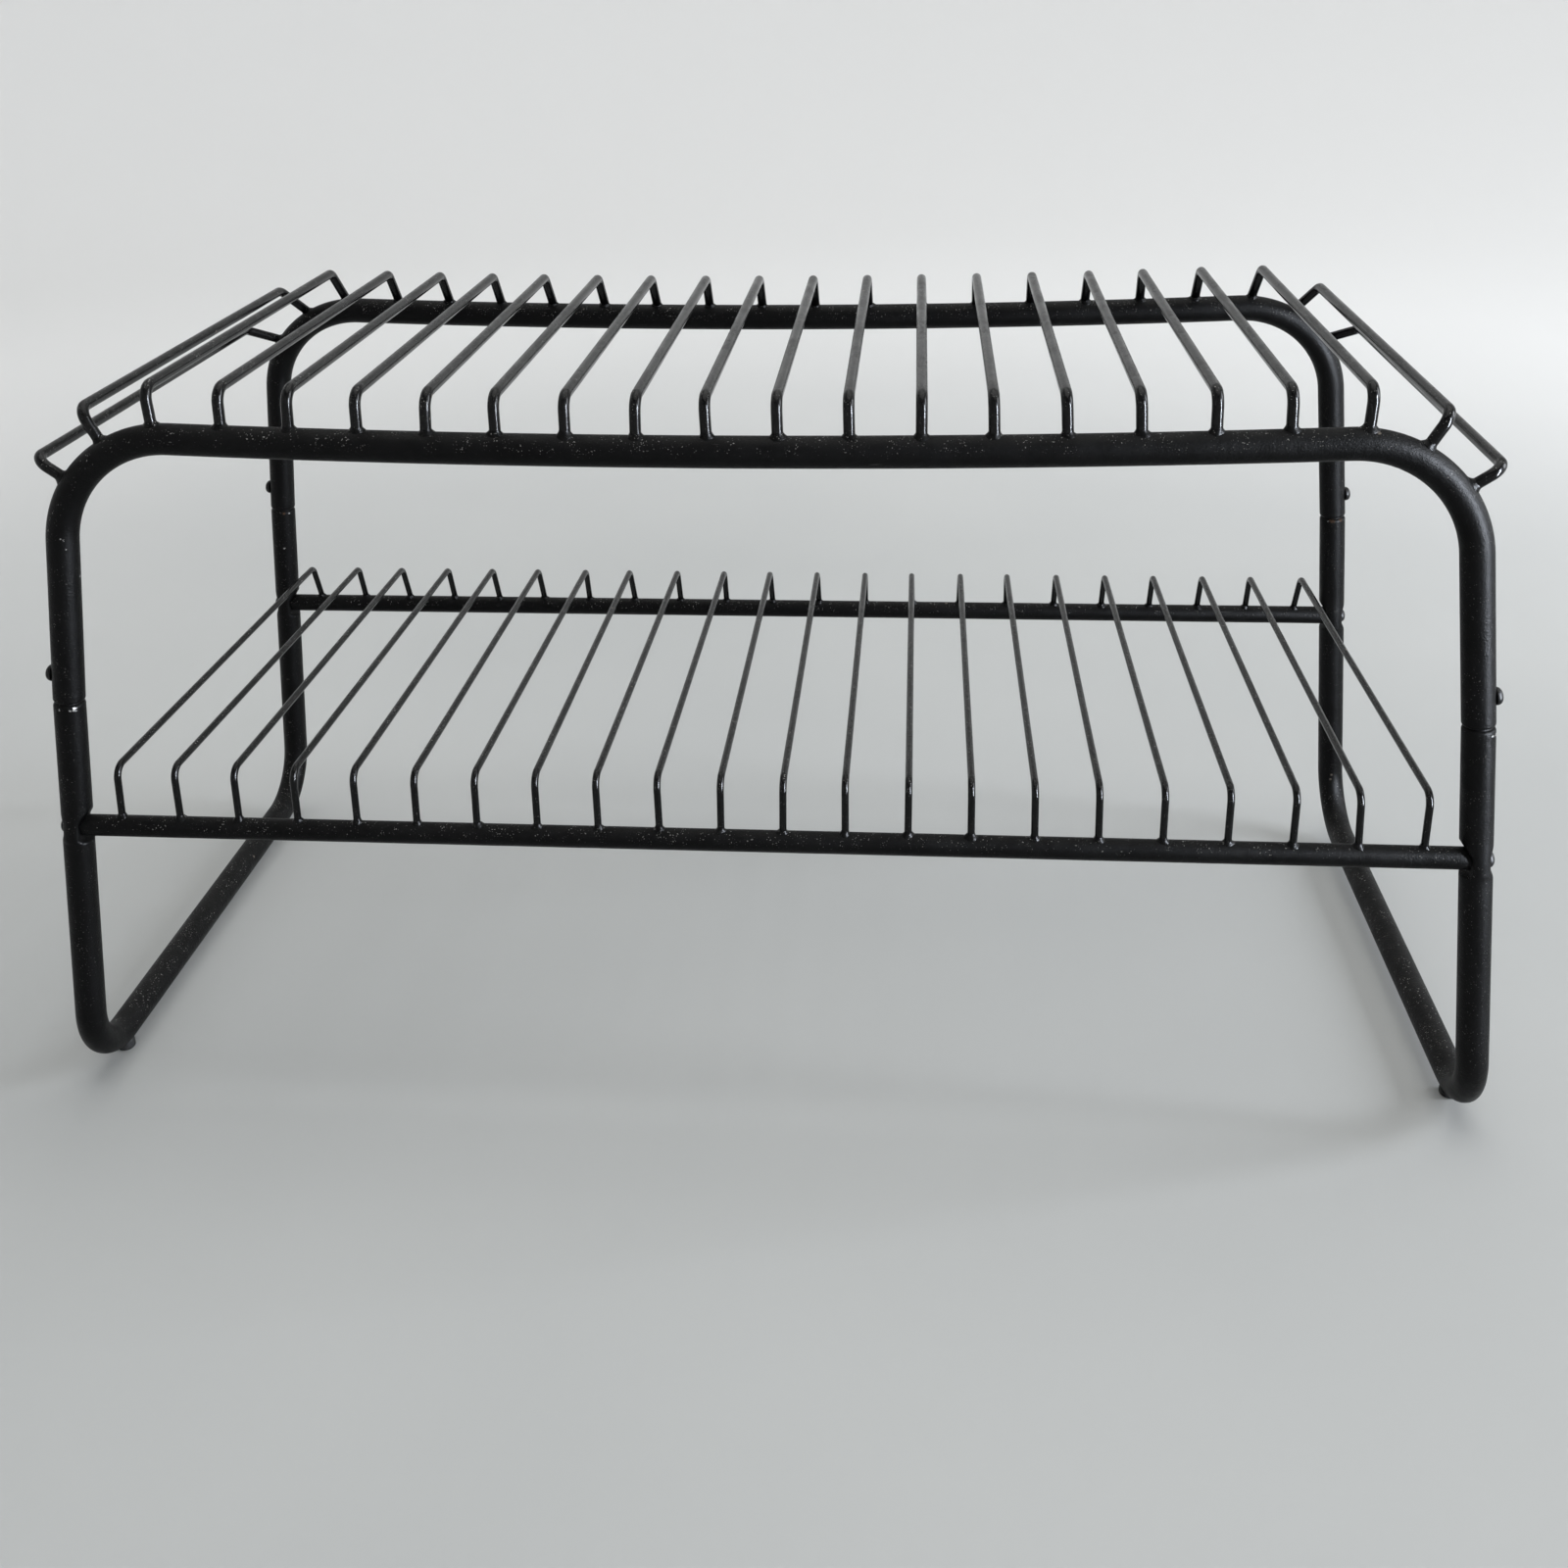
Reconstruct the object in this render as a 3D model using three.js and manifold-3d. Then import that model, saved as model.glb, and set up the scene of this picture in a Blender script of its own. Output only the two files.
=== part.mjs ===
// Two-tier rack of bent tube and wire. Millimetres, +Z up, origin on the floor at the bottom centre.
// Two arches carry the upper wires, two side frames stand on the floor, two rails carry the lower wires.
import * as THREE from 'three';
import { mergeVertices } from 'three/addons/utils/BufferGeometryUtils.js';
import Module from 'manifold-3d';

const wasm = await Module();
wasm.setup();

const GAP = 0.3; // clearance between pieces that touch

// Main tube: arches and side frames.
const TUBE_R = 9.5;
const BORE_R = 8.3;

// Arch: leaning legs joined by a top bar that sags in the middle.
const BAR_CORNER = { x: 406, y: 172, z: 450 };
const LEG_END = { x: 422.6, y: 178.8, z: 280 };
const BAR_BEND_X = 340; // where the bar ends and the corner bend starts
const BAR_SAG = 9;

// Side frame: two legs and a floor runner, with a reduced neck at the top of each leg.
const FLOOR_CORNER = { x: 443, y: 187, z: 15.5 };
const RUNNER_BEND_R = 42;
const NECK_R = 8;
const NECK_BORE_R = 6.6;
const NECK_LENGTH = 32;
const SHOULDER = 2; // rounded part below the joint

// Rails, and the pinched part of the legs they are screwed against.
const RAIL_Z = 194.5;
const RAIL_R = 6.8;
const RAIL_BORE_R = 5.6;
const INNER_DIMPLE = 6;
const OUTER_DIMPLE = 2.5;

// Wires: staples with both feet on the crowns of two parallel tubes. The front leg stands square to
// the tube and the back leg leans forwards.
const UPPER_WIRE = { radius: 3.4, frontRise: 22, backRise: 24.5, backLean: 21, bend: 9, pitch: 40.9 };
const UPPER_STRAIGHT_COUNT = 18;
const UPPER_BEND_WIRES = [{ degrees: 29, rise: 0.96 }, { degrees: 54, rise: 0.86 }]; // round the corner
const LOWER_WIRE = { radius: 2.25, frontRise: 34, backRise: 29.5, backLean: 13, bend: 8, pitch: 38 };
const LOWER_COUNT = 22;

// Screws and feet.
const SCREW = { headR: 5.3, headH: 4.2, shankR: 2, shankL: 5, aboveJoint: 17.5 };
const FOOT = { radius: 6, height: 6, pegR: 2, pegTop: 9, y: 145 };
const HOLE_R = 2.3;

const vec = (x, y, z) => new THREE.Vector3(x, y, z);
const at = (corner, sideX, sideY) => vec(sideX * corner.x, sideY * corner.y, corner.z);

const steel = (color, roughness) => new THREE.MeshStandardMaterial({ color, roughness, metalness: 0.3 });
const framePaint = steel(0x17171a, 0.5);
const wirePaint = steel(0x1c1c1f, 0.38);
const screwPaint = steel(0x101012, 0.35);
const footRubber = new THREE.MeshStandardMaterial({ color: 0x0d0d0d, roughness: 0.8, metalness: 0 });

// A path given as a list of ring centres, one sweep step per span.
class RingPath extends THREE.Curve {
  constructor(points) {
    super();
    this.points = points;
  }

  span(u) {
    const last = this.points.length - 1;
    const index = Math.min(Math.floor(u * last + 1e-6), last - 1);
    return { index, rest: u * last - index };
  }

  getPoint(u, target = vec(0, 0, 0)) {
    const { index, rest } = this.span(u);
    return target.lerpVectors(this.points[index], this.points[index + 1], rest);
  }

  getPointAt(u, target) {
    return this.getPoint(u, target);
  }

  getTangent(u, target = vec(0, 0, 0)) {
    const index = Math.round(u * (this.points.length - 1));
    const here = this.points[index];
    const before = this.points[index - 1];
    const after = this.points[index + 1];
    if (before) target.add(here.clone().sub(before).normalize());
    if (after) target.add(after.clone().sub(here).normalize());
    return target.normalize();
  }

  getTangentAt(u) {
    return this.getTangent(u);
  }
}

// Points of the arc that rounds a corner, from tangent point to tangent point.
function roundCorner(before, corner, after, radius, steps) {
  const inward = before.clone().sub(corner).normalize();
  const onward = after.clone().sub(corner).normalize();
  const half = inward.angleTo(onward) / 2;
  const middle = inward.clone().add(onward).normalize();
  const centre = corner.clone().addScaledVector(middle, radius / Math.sin(half));
  const start = corner.clone().addScaledVector(inward, radius / Math.tan(half)).sub(centre);
  const turn = Math.PI - 2 * half;
  const axis = onward.clone().cross(inward).normalize();
  const points = [];
  for (let i = 0; i <= steps; i += 1) {
    points.push(start.clone().applyAxisAngle(axis, turn * (i / steps)).add(centre));
  }
  return points;
}

function circle(radius, sides, PathType = THREE.Shape) {
  const outline = new PathType();
  for (let i = 0; i < sides; i += 1) {
    const angle = (2 * Math.PI * (i + 0.5)) / sides;
    const point = [radius * Math.cos(angle), radius * Math.sin(angle)];
    if (i === 0) outline.moveTo(...point);
    else outline.lineTo(...point);
  }
  outline.closePath();
  return outline;
}

function sweep(points, radius, sides, boreRadius = 0) {
  const shape = circle(radius, sides);
  if (boreRadius > 0) shape.holes.push(circle(boreRadius, sides, THREE.Path));
  return new THREE.ExtrudeGeometry(shape, {
    steps: points.length - 1,
    extrudePath: new RingPath(points),
    bevelEnabled: false,
  });
}

// Welds the vertices and drops the collapsed triangles at the poles of a lathe.
function weld(geometry) {
  geometry.deleteAttribute('normal');
  geometry.deleteAttribute('uv');
  const merged = mergeVertices(geometry, 1e-4);
  const kept = [];
  const index = merged.index.array;
  for (let i = 0; i < index.length; i += 3) {
    const [a, b, c] = [index[i], index[i + 1], index[i + 2]];
    if (a !== b && b !== c && c !== a) kept.push(a, b, c);
  }
  merged.setIndex(kept);
  return merged;
}

function solid(geometry) {
  const welded = weld(geometry);
  return new wasm.Manifold(new wasm.Mesh({
    numProp: 3,
    vertProperties: new Float32Array(welded.attributes.position.array),
    triVerts: new Uint32Array(welded.index.array),
  }));
}

function fromSolid(body) {
  const mesh = body.getMesh();
  const geometry = new THREE.BufferGeometry();
  geometry.setAttribute('position', new THREE.BufferAttribute(mesh.vertProperties, 3));
  geometry.setIndex(new THREE.BufferAttribute(mesh.triVerts, 1));
  return geometry;
}

// Stands a shape made along +Y so that its axis points along direction, with its origin at place.
function stand(geometry, place, direction) {
  const turn = new THREE.Quaternion().setFromUnitVectors(vec(0, 1, 0), direction.clone().normalize());
  return geometry.applyQuaternion(turn).translate(place.x, place.y, place.z);
}

function turned(profile, sides, place, direction) {
  const points = profile.map(([radius, height]) => new THREE.Vector2(radius, height));
  return stand(new THREE.LatheGeometry(points, sides), place, direction);
}

function pin(radius, length, place, direction) {
  return stand(new THREE.CylinderGeometry(radius, radius, length, 12), place, direction);
}

const rack = new THREE.Group();

function add(name, geometry, material) {
  const merged = geometry.index ? geometry : weld(geometry);
  merged.computeVertexNormals();
  const mesh = new THREE.Mesh(merged, material);
  mesh.name = name;
  rack.add(mesh);
}

// ---- arches -------------------------------------------------------------------------------------

const barHeight = (x) => BAR_CORNER.z - BAR_SAG * (1 - (x / BAR_CORNER.x) ** 2);
const barSlope = (2 * BAR_SAG * BAR_BEND_X) / BAR_CORNER.x ** 2;

// The whole arch lies in one plane that leans outwards towards the floor.
const archLean = (LEG_END.y - BAR_CORNER.y) / (BAR_CORNER.z - LEG_END.z);
const archY = (z) => BAR_CORNER.y + archLean * (BAR_CORNER.z - z);

const bendStart = vec(BAR_BEND_X, 0, barHeight(BAR_BEND_X));
const bendCorner = vec(BAR_CORNER.x, 0, bendStart.z + barSlope * (BAR_CORNER.x - BAR_BEND_X));
const legEndXZ = vec(LEG_END.x, 0, LEG_END.z);
const bendHalfAngle = bendStart.clone().sub(bendCorner).angleTo(legEndXZ.clone().sub(bendCorner)) / 2;
const BEND_R = bendStart.distanceTo(bendCorner) * Math.tan(bendHalfAngle);
const bendCentre = vec(BAR_BEND_X + BEND_R * Math.sin(Math.atan(barSlope)), 0, 0);
bendCentre.z = bendStart.z - BEND_R * Math.cos(Math.atan(barSlope));

const legDirection = (sideX, sideY) => at(LEG_END, sideX, sideY).sub(at(BAR_CORNER, sideX, sideY)).normalize();
const screwPlace = (sideX, sideY) => at(LEG_END, sideX, sideY)
  .addScaledVector(legDirection(sideX, sideY), -SCREW.aboveJoint);
// Square to the leg, pointing to the outside of the rack.
const screwDirection = (sideX, sideY) => {
  const leg = legDirection(sideX, sideY);
  const outward = vec(sideX, 0, 0);
  return outward.addScaledVector(leg, -outward.dot(leg)).normalize();
};

function archPath(sideY) {
  const half = roundCorner(bendStart, bendCorner, legEndXZ, BEND_R, 6);
  const legTip = legEndXZ.clone().addScaledVector(legEndXZ.clone().sub(bendCorner).normalize(), -GAP);
  const right = [...half, legTip];
  const bar = [];
  const steps = 10;
  for (let i = 1; i < steps; i += 1) {
    const x = -BAR_BEND_X + (2 * BAR_BEND_X * i) / steps;
    bar.push(vec(x, 0, barHeight(x)));
  }
  const left = right.map((p) => vec(-p.x, 0, p.z)).reverse();
  return [...left, ...bar, ...right].map((p) => vec(p.x, sideY * archY(p.z), p.z));
}

function arch(sideY) {
  let body = solid(sweep(archPath(sideY), TUBE_R, 14, BORE_R));
  for (const sideX of [-1, 1]) {
    const direction = screwDirection(sideX, sideY);
    const middle = screwPlace(sideX, sideY).addScaledVector(direction, TUBE_R);
    body = body.subtract(solid(pin(HOLE_R, 8, middle, direction)));
  }
  return fromSolid(body);
}

add('front_arch', arch(-1), framePaint);
add('back_arch', arch(1), framePaint);

// ---- side frames --------------------------------------------------------------------------------

const legShare = (z) => (LEG_END.z - z) / (LEG_END.z - FLOOR_CORNER.z);
const legAxis = (z, sideX, sideY) => at(LEG_END, sideX, sideY)
  .lerp(at(FLOOR_CORNER, sideX, sideY), legShare(z));

// How far the leg is pinched at a height above the rail axis: long taper above, short step below.
function pinch(height, depth) {
  const above = THREE.MathUtils.smoothstep(22 - height, 0, 15);
  const below = THREE.MathUtils.smoothstep(height + 11, 0, 4);
  return depth * Math.min(above, below);
}

function pinchLegs(geometry, radius) {
  const position = geometry.attributes.position;
  const p = vec(0, 0, 0);
  for (let i = 0; i < position.count; i += 1) {
    p.fromBufferAttribute(position, i);
    const sideX = Math.sign(p.x);
    const axis = legAxis(p.z, sideX, Math.sign(p.y));
    const inner = radius - pinch(p.z - RAIL_Z, INNER_DIMPLE);
    const outer = radius - pinch(p.z - RAIL_Z, OUTER_DIMPLE);
    if (p.z > RAIL_Z - 14 && p.z < RAIL_Z + 24) {
      const offset = THREE.MathUtils.clamp((p.x - axis.x) * sideX, -inner, outer);
      position.setX(i, axis.x + sideX * offset);
    }
  }
  return geometry;
}

function sideFramePath(sideX) {
  const shoulder = (sideY) => {
    const top = at(LEG_END, sideX, sideY);
    return top.lerp(at(FLOOR_CORNER, sideX, sideY), SHOULDER / top.distanceTo(at(FLOOR_CORNER, sideX, sideY)));
  };
  const rings = [24, 19, 14.5, 10, 7, -7, -9, -11].map((height) => RAIL_Z + height);
  const front = [shoulder(-1), ...rings.map((z) => legAxis(z, sideX, -1))];
  const back = [shoulder(1), ...rings.map((z) => legAxis(z, sideX, 1))].reverse();
  const corner = (sideY, from, to) => roundCorner(from, at(FLOOR_CORNER, sideX, sideY), to, RUNNER_BEND_R, 6);
  const frontCorner = corner(-1, front[0], at(FLOOR_CORNER, sideX, 1));
  const backCorner = corner(1, at(FLOOR_CORNER, sideX, -1), back[back.length - 1]);
  return [...front, ...frontCorner, ...backCorner, ...back];
}

function sideFrame(sideX) {
  const path = sideFramePath(sideX);
  let outside = solid(pinchLegs(sweep(path, TUBE_R, 14), TUBE_R));
  let inside = solid(pinchLegs(sweep(path, BORE_R, 14), BORE_R));
  for (const sideY of [-1, 1]) {
    const top = at(LEG_END, sideX, sideY);
    const up = legDirection(sideX, sideY).negate();
    const neck = [[0, -10], [9, -10], [9, -1.2], [8.5, 0], [NECK_R, 0.4]];
    neck.push([NECK_R, NECK_LENGTH - 1], [NECK_R - 1, NECK_LENGTH], [0, NECK_LENGTH]);
    outside = outside.add(solid(turned(neck, 14, top, up)));
    inside = inside.add(solid(pin(NECK_BORE_R, NECK_LENGTH + 20, top.clone().addScaledVector(up, 12), up)));
    const direction = screwDirection(sideX, sideY);
    const screwHole = screwPlace(sideX, sideY).addScaledVector(direction, NECK_R);
    inside = inside.add(solid(pin(HOLE_R, 8, screwHole, direction)));
    const pegHole = vec(sideX * FLOOR_CORNER.x, sideY * FOOT.y, FOOT.height);
    inside = inside.add(solid(pin(HOLE_R, 8, pegHole, vec(0, 0, 1))));
  }
  return fromSolid(outside.subtract(inside));
}

add('left_side_frame', sideFrame(-1), framePaint);
add('right_side_frame', sideFrame(1), framePaint);

// ---- rails --------------------------------------------------------------------------------------

const RAIL_AXIS = legAxis(RAIL_Z, 1, 1);
const RAIL_END_X = legAxis(RAIL_Z + RAIL_R, 1, 1).x - (TUBE_R - INNER_DIMPLE) - GAP;

function rail(sideY) {
  const ends = [-RAIL_END_X, RAIL_END_X].map((x) => vec(x, sideY * RAIL_AXIS.y, RAIL_Z));
  return sweep(ends, RAIL_R, 14, RAIL_BORE_R);
}

add('front_rail', rail(-1), framePaint);
add('back_rail', rail(1), framePaint);

// ---- wires --------------------------------------------------------------------------------------

// A staple from a foot on the front tube to the matching foot on the back tube, standing along up.
function staple(footX, footY, footZ, up, wire, rise = 1) {
  const frontFoot = vec(footX, -footY, footZ);
  const backFoot = vec(footX, footY, footZ);
  const frontTop = frontFoot.clone().addScaledVector(up, wire.frontRise * rise);
  const backTop = backFoot.clone().addScaledVector(up, wire.backRise * rise);
  backTop.y -= wire.backLean;
  // The leaning leg stops a little higher, so that its slanted end stays clear of the tube.
  const lean = Math.atan2(wire.backLean, wire.backRise * rise);
  const backEnd = backFoot.clone().addScaledVector(up, wire.radius * Math.sin(lean));
  return sweep([
    frontFoot,
    ...roundCorner(frontFoot, frontTop, backTop, wire.bend, 3),
    ...roundCorner(frontTop, backTop, backFoot, wire.bend, 3),
    backEnd,
  ], wire.radius, 8);
}

// Direction square to the arch at a foot, and the centre line under it.
function barFoot(x) {
  const slope = (2 * BAR_SAG * x) / BAR_CORNER.x ** 2;
  return { centre: vec(x, 0, barHeight(x)), up: vec(-slope, 0, 1).normalize() };
}

function bendFoot(degrees, sideX, rise = 1) {
  const angle = THREE.MathUtils.degToRad(degrees);
  const up = vec(sideX * Math.sin(angle), 0, Math.cos(angle));
  const centre = vec(sideX * bendCentre.x, 0, bendCentre.z).addScaledVector(up, BEND_R);
  return { centre, up, rise };
}

const lastX = (UPPER_WIRE.pitch * (UPPER_STRAIGHT_COUNT - 1)) / 2;
const lastAngle = THREE.MathUtils.radToDeg(Math.asin((lastX - bendCentre.x) / BEND_R));
const upperFeet = [];
for (const { degrees, rise } of [...UPPER_BEND_WIRES].reverse()) upperFeet.push(bendFoot(degrees, -1, rise));
for (let i = 0; i < UPPER_STRAIGHT_COUNT; i += 1) {
  const x = i * UPPER_WIRE.pitch - lastX;
  const onBend = Math.abs(x) > bendCentre.x;
  upperFeet.push(onBend ? bendFoot(lastAngle, Math.sign(x)) : barFoot(x));
}
for (const { degrees, rise } of UPPER_BEND_WIRES) upperFeet.push(bendFoot(degrees, 1, rise));

const number = (i) => String(i + 1).padStart(2, '0');

upperFeet.forEach(({ centre, up, rise }, i) => {
  const foot = centre.clone().addScaledVector(up, TUBE_R + GAP);
  const wire = staple(foot.x, archY(centre.z), foot.z, up, UPPER_WIRE, rise);
  add(`upper_wire_${number(i)}`, wire, wirePaint);
});

for (let i = 0; i < LOWER_COUNT; i += 1) {
  const x = (i - (LOWER_COUNT - 1) / 2) * LOWER_WIRE.pitch;
  const footZ = RAIL_Z + RAIL_R + GAP;
  add(`lower_wire_${number(i)}`, staple(x, RAIL_AXIS.y, footZ, vec(0, 0, 1), LOWER_WIRE), wirePaint);
}

// ---- screws and feet ----------------------------------------------------------------------------

const screwProfile = [
  [0, -SCREW.shankL],
  [SCREW.shankR, -SCREW.shankL],
  [SCREW.shankR, 0],
  [SCREW.headR, 0],
  [SCREW.headR, 0.22 * SCREW.headH],
  [0.87 * SCREW.headR, 0.62 * SCREW.headH],
  [0.5 * SCREW.headR, 0.92 * SCREW.headH],
  [0, SCREW.headH],
];
const footProfile = [
  [0, 0],
  [FOOT.radius - 0.8, 0],
  [FOOT.radius, 0.8],
  [FOOT.radius, FOOT.height - GAP],
  [FOOT.pegR, FOOT.height - GAP],
  [FOOT.pegR, FOOT.pegTop],
  [0, FOOT.pegTop],
];

for (const [sideName, sideX] of [['left', -1], ['right', 1]]) {
  for (const [endName, sideY] of [['front', -1], ['back', 1]]) {
    const direction = screwDirection(sideX, sideY);
    const seat = screwPlace(sideX, sideY).addScaledVector(direction, TUBE_R + GAP);
    add(`leg_screw_${endName}_${sideName}`, turned(screwProfile, 12, seat, direction), screwPaint);
    const floor = vec(sideX * FLOOR_CORNER.x, sideY * FOOT.y, 0);
    add(`foot_${endName}_${sideName}`, turned(footProfile, 16, floor, vec(0, 0, 1)), footRubber);
  }
}

export default rack;
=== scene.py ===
"""Two-tier rack of black powder-coated steel tube and wire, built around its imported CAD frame."""

import math

import bpy
import numpy as np
from mathutils import Matrix, Vector


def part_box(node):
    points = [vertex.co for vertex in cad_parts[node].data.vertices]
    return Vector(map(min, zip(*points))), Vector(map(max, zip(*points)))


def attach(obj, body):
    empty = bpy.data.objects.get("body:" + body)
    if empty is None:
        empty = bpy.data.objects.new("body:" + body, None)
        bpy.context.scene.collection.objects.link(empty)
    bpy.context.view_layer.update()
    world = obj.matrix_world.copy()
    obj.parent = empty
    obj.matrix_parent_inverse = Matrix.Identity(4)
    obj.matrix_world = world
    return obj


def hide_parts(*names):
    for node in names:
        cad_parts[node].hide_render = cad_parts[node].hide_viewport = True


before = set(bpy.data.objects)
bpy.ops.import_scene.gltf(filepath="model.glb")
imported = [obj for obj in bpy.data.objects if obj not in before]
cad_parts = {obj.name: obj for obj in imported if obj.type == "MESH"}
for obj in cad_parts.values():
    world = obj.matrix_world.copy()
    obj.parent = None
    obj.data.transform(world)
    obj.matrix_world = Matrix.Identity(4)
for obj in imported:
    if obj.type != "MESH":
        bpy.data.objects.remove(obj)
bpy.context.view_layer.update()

MM = 0.001
rng = np.random.default_rng(7)

# ---- driving dimensions, in millimetres --------------------------------------------------------
# These are the CAD part's, apart from the floor corner, which lies up to 0.3 mm further in to keep
# the rack inside the CAD's box, and the depth of the dimples, which follows the photo.

TUBE_R = 9.5
BORE_R = 8.3
NECK_R = 8.0
BAR_CORNER = np.array([406.0, 172.0, 450.0])
LEG_END = np.array([422.6, 178.8, 280.0])
FLOOR_CORNER = np.array([442.9, 186.7, 15.5])
BAR_BEND_X = 340.0  # where the bar ends and the corner bend starts
BAR_SAG = 9.0
RUNNER_BEND_R = 42.0
RAIL_Z = 194.5
RAIL_R = 6.8
INNER_DIMPLE = 5.2
OUTER_DIMPLE = 2.8
UPPER_WIRE = {"radius": 3.4, "front_rise": 22.0, "back_rise": 24.5, "back_lean": 21.0,
              "bend": 9.0, "pitch": 40.9}
UPPER_STRAIGHT_COUNT = 18
UPPER_BEND_WIRES = ((29.0, 0.96), (54.0, 0.86))  # degrees round the corner bend, share of the rise
LOWER_WIRE = {"radius": 2.25, "front_rise": 34.0, "back_rise": 29.5, "back_lean": 13.0,
              "bend": 8.0, "pitch": 38.0}
LOWER_COUNT = 22
SCREW_ABOVE_JOINT = 17.5
SCREW_HEAD_R = 5.3
SCREW_HEAD_H = 4.2

# How finely the shapes are divided: points round a section, steps round a bend, rings along a bar,
# and the distance between rings along a straight length.
ARCH_SIDES, FRAME_SIDES, RAIL_SIDES, WIRE_SIDES = 48, 56, 40, 20
WELD_SIDES, WELD_ROWS, TURNED_SIDES, FLOOR_SIDES = 28, 10, 40, 96
ARCH_BEND_STEPS, RUNNER_BEND_STEPS, WIRE_BEND_STEPS = 30, 26, 14
BAR_RINGS, RAIL_RINGS = 111, 100
ARCH_LEG_SPACING, RUNNER_SPACING = 7.0, 9.0
WIRE_LEG_SPACING, WIRE_RUN_SPACING = 3.0, 14.0


def unit(v):
    v = np.asarray(v, float)
    return v / np.linalg.norm(v)


def units(vectors):
    return vectors / np.linalg.norm(vectors, axis=1)[:, None]


def at(corner, side_x, side_y):
    return corner * np.array([side_x, side_y, 1.0])


# ---- mesh helpers ------------------------------------------------------------------------------

def new_object(name, verts, faces, material, smooth=True):
    """A mesh object from millimetre points."""
    mesh = bpy.data.meshes.new(name)
    mesh.from_pydata((np.asarray(verts) * MM).tolist(), [], faces)
    mesh.validate()
    if smooth:
        mesh.shade_smooth()
    mesh.materials.append(material)
    obj = bpy.data.objects.new(name, mesh)
    bpy.context.scene.collection.objects.link(obj)
    return obj


def grid_faces(rings, sides, start=0, flip=False):
    """Quads between closed rings of vertices that follow each other in the vertex list."""
    faces = []
    for i in range(rings - 1):
        for j in range(sides):
            k = (j + 1) % sides
            a, b = start + i * sides + j, start + i * sides + k
            c, d = b + sides, a + sides
            faces.append((a, d, c, b) if flip else (a, b, c, d))
    return faces


def capped_faces(rings, sides):
    """The quads between the rings and one cap at each end."""
    last = (rings - 1) * sides
    caps = [tuple(range(sides))[::-1], tuple(range(last, last + sides))]
    return grid_faces(rings, sides) + caps


def circle(radii, sides):
    """Both coordinates of the points of one circle per radius."""
    angle = 2 * np.pi * np.arange(sides) / sides
    return radii[:, None] * np.cos(angle), radii[:, None] * np.sin(angle)


def swept(points, u, v, across, beside):
    """Closed tube whose ring i is points[i] + u[i] * across[i] + v[i] * beside[i]."""
    verts = points[:, None, :] + u[..., None] * across[:, None, :]
    verts = verts + v[..., None] * beside[:, None, :]
    return verts.reshape(-1, 3), capped_faces(*u.shape)


def tangents(points):
    steps = units(np.diff(points, axis=0))
    return units(np.vstack([steps[:1], steps[:-1] + steps[1:], steps[-1:]]))


def tube(points, plane_normal, sides, radius, tangent=None):
    """Closed tube along a planar path. radius is a number or one per ring."""
    points = np.asarray(points, float)
    if tangent is None:
        tangent = tangents(points)
    beside = unit(plane_normal)
    across = units(np.cross(beside, tangent))
    radii = np.broadcast_to(np.asarray(radius, float), len(points))
    return swept(points, *circle(radii, sides), across, np.broadcast_to(beside, points.shape))


def merged(parts):
    """Several (verts, faces) joined into one."""
    verts, faces, offset = [], [], 0
    for part_verts, part_faces in parts:
        verts.append(np.asarray(part_verts, float))
        faces += [tuple(i + offset for i in face) for face in part_faces]
        offset += len(part_verts)
    return np.vstack(verts), faces


def line(a, b, step):
    """Points from a to b, both ends included, about step apart."""
    count = max(int(round(np.linalg.norm(b - a) / step)), 1)
    return a + (b - a) * np.linspace(0, 1, count + 1)[:, None]


def round_corner(before, corner, after, radius, steps):
    """Arc that rounds a corner, from tangent point to tangent point."""
    inward, onward = unit(before - corner), unit(after - corner)
    half = math.acos(np.clip(inward @ onward, -1, 1)) / 2
    centre = corner + unit(inward + onward) * radius / math.sin(half)
    start = corner + inward * radius / math.tan(half) - centre
    turn = math.pi - 2 * half
    side = unit(np.cross(np.cross(onward, inward), start))
    angle = turn * np.linspace(0, 1, steps + 1)[:, None]
    return centre + np.cos(angle) * start + np.sin(angle) * side * radius


def turned(profile, sides):
    """Closed body of revolution about Z: (radius, height) points that start and end on the axis."""
    verts = [np.array([0.0, 0.0, profile[0][1]])]
    for r, h in profile[1:-1]:
        for j in range(sides):
            a = 2 * np.pi * j / sides
            verts.append(np.array([r * math.cos(a), r * math.sin(a), h]))
    verts.append(np.array([0.0, 0.0, profile[-1][1]]))
    rings = len(profile) - 2
    faces = [(0, 1 + (j + 1) % sides, 1 + j) for j in range(sides)]
    faces += grid_faces(rings, sides, start=1)
    last = 1 + (rings - 1) * sides
    faces += [(len(verts) - 1, last + j, last + (j + 1) % sides) for j in range(sides)]
    return np.array(verts), faces


# ---- materials ---------------------------------------------------------------------------------
# Scales of noise and cells are in repeats per metre, distances of bumps in metres.

DUST = (0.20, 0.20, 0.185)
SPECK = (0.45, 0.44, 0.42)
SCRATCH = (0.12, 0.12, 0.115)
CHIP = (0.22, 0.19, 0.16)
RUST = (0.075, 0.038, 0.018)
BARE_STEEL = (0.42, 0.415, 0.41)
SCRATCH_STRETCH = (1.0, 26.0, 5.0)


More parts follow.
